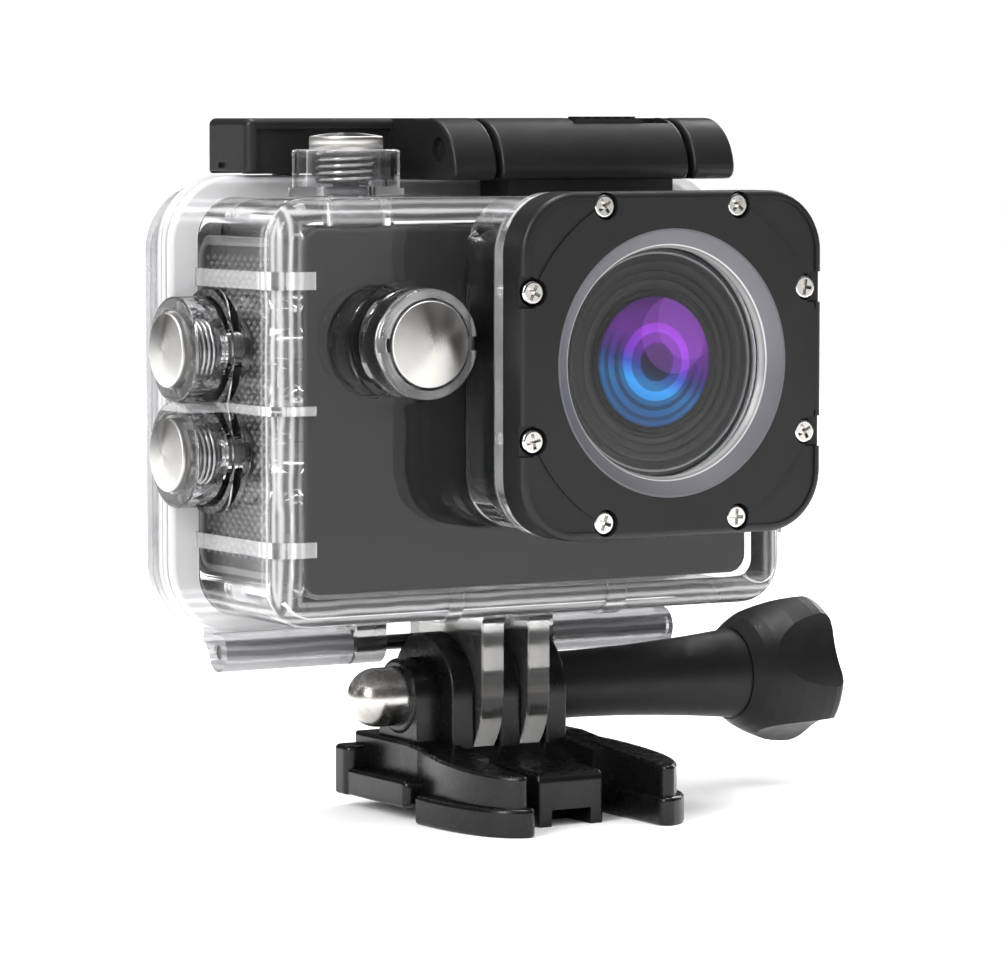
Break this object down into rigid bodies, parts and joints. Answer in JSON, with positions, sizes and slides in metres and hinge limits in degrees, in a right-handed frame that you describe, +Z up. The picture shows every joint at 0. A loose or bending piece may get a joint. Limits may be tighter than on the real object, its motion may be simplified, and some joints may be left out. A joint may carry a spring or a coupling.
{
  "type": "action camera in a waterproof case",
  "caption": "Action camera sealed in a clear waterproof case with push buttons, a hinged rear door and top latch, on a tilting quick-release buckle with a thumb screw.",
  "frame": {"origin": "on the buckle's underside, straight below the tilt screw, on the case's middle plane", "axes": "the lens looks along -Y, +X runs along the tilt screw towards its knob, +Z is up"},
  "size_m": [0.0873, 0.0415, 0.0806],
  "materials": {
    "clear_case": "clear polished polycarbonate",
    "case_seal": "matt silicone",
    "black_satin": "satin black moulding",
    "port_grey": "satin grey with a bright bevel",
    "port_glass": "clear flat glass",
    "lens_glass": "coated glass, purple to blue",
    "steel_bright": "polished steel",
    "steel_brushed": "brushed steel",
    "stem_plastic": "dark nylon",
    "spring_steel": "spring steel",
    "camera_grey": "dark grey semi-gloss",
    "camera_dark": "satin dark plastic",
    "grip_rubber": "diamond texture",
    "key_dark": "dark keys",
    "board_green": "circuit board",
    "sensor_blue": "image sensor cover",
    "battery_wrap": "wrapped cell",
    "display_frame": "display can",
    "display_black": "black cover glass",
    "speaker_metal": "speaker can"
  },
  "bodies": {
    "buckle": {"buckle_base": "black_satin", "dome_nut": "steel_bright"},
    "thumb_screw": {"thumb_knob": "black_satin", "tilt_bolt": "steel_bright"},
    "case": {"front_shell": "clear_case", "lens_bezel": "black_satin", "bezel_screws": "steel_bright", "port_ring": "port_grey", "port_window": "port_glass", "port_gasket": "case_seal", "latch_block": "black_satin", "latch_pin": "steel_bright", "door_pin": "steel_bright", "stem_seals": "case_seal", "camera_front_cover": "camera_grey", "camera_rear_cover": "camera_dark", "left_grip": "grip_rubber", "right_grip": "grip_rubber", "lens_shroud": "camera_dark", "lens_barrel": "camera_dark", "battery_lid": "camera_dark", "display_glass": "display_black", "sensor_board": "board_green", "image_sensor": "sensor_blue", "main_board": "board_green", "battery": "battery_wrap", "display_module": "display_frame", "speaker": "speaker_metal", "lens_inner_glass": "lens_glass", "lens_trim_ring": "camera_dark", "lens_front_glass": "lens_glass", "power_spring": "spring_steel", "shutter_spring": "spring_steel", "up_spring": "spring_steel", "down_spring": "spring_steel"},
    "rear_door": {"back_door": "clear_case", "door_gasket": "case_seal"},
    "latch": {"latch_lever": "black_satin"},
    "lock_slider": {"latch_slider": "black_satin"},
    "power_button": {"power_cap": "steel_brushed", "power_stem": "stem_plastic", "power_clip": "spring_steel"},
    "power_camera_key": {"power_key": "key_dark"},
    "shutter_button": {"shutter_cap": "steel_brushed", "shutter_stem": "stem_plastic", "shutter_clip": "spring_steel"},
    "shutter_camera_key": {"shutter_key": "key_dark"},
    "up_button": {"up_cap": "steel_brushed", "up_stem": "stem_plastic", "up_clip": "spring_steel"},
    "up_camera_key": {"up_key": "key_dark"},
    "down_button": {"down_cap": "steel_brushed", "down_stem": "stem_plastic", "down_clip": "spring_steel"},
    "down_camera_key": {"down_key": "key_dark"}
  },
  "joints": [
    {"name": "tilt", "type": "hinge", "parent": "buckle", "child": "case", "pos_m": [0, 0, 0.0134], "axis": [1, 0, 0], "range_deg": [-45, 45]},
    {"name": "thumb_screw_turn", "type": "hinge", "parent": "buckle", "child": "thumb_screw", "pos_m": [0, 0, 0.0134], "axis": [1, 0, 0], "continuous": true},
    {"name": "door_hinge", "type": "hinge", "parent": "case", "child": "rear_door", "pos_m": [0, 0.0077, 0.0188], "axis": [-1, 0, 0], "range_deg": [0, 100]},
    {"name": "latch_pivot", "type": "hinge", "parent": "case", "child": "latch", "pos_m": [0, -0.0069, 0.0768], "axis": [1, 0, 0], "range_deg": [0, 90]},
    {"name": "lock_slide", "type": "slide", "parent": "case", "child": "lock_slider", "axis": [1, 0, 0], "range_m": [0, 0.003]},
    {"name": "power_press", "type": "slide", "parent": "case", "child": "power_button", "axis": [0, 1, 0], "range_m": [0, 0.0008], "stiffness_N_per_m": 500, "deforming": ["power_spring"]},
    {"name": "power_key_press", "type": "slide", "parent": "case", "child": "power_camera_key", "axis": [0, 1, 0], "range_m": [0, 0.0008], "stiffness_N_per_m": 200},
    {"name": "shutter_press", "type": "slide", "parent": "case", "child": "shutter_button", "axis": [0, 0, -1], "range_m": [0, 0.0008], "stiffness_N_per_m": 500, "deforming": ["shutter_spring"]},
    {"name": "shutter_key_press", "type": "slide", "parent": "case", "child": "shutter_camera_key", "axis": [0, 0, -1], "range_m": [0, 0.0008], "stiffness_N_per_m": 200},
    {"name": "up_press", "type": "slide", "parent": "case", "child": "up_button", "axis": [1, 0, 0], "range_m": [0, 0.0008], "stiffness_N_per_m": 500, "deforming": ["up_spring"]},
    {"name": "up_key_press", "type": "slide", "parent": "case", "child": "up_camera_key", "axis": [1, 0, 0], "range_m": [0, 0.0008], "stiffness_N_per_m": 200},
    {"name": "down_press", "type": "slide", "parent": "case", "child": "down_button", "axis": [1, 0, 0], "range_m": [0, 0.0008], "stiffness_N_per_m": 500, "deforming": ["down_spring"]},
    {"name": "down_key_press", "type": "slide", "parent": "case", "child": "down_camera_key", "axis": [1, 0, 0], "range_m": [0, 0.0008], "stiffness_N_per_m": 200}
  ],
  "couplings": [
    {"joint": "power_key_press", "follows": "power_press", "ratio": 1},
    {"joint": "shutter_key_press", "follows": "shutter_press", "ratio": 1},
    {"joint": "up_key_press", "follows": "up_press", "ratio": 1},
    {"joint": "down_key_press", "follows": "down_press", "ratio": 1}
  ]
}
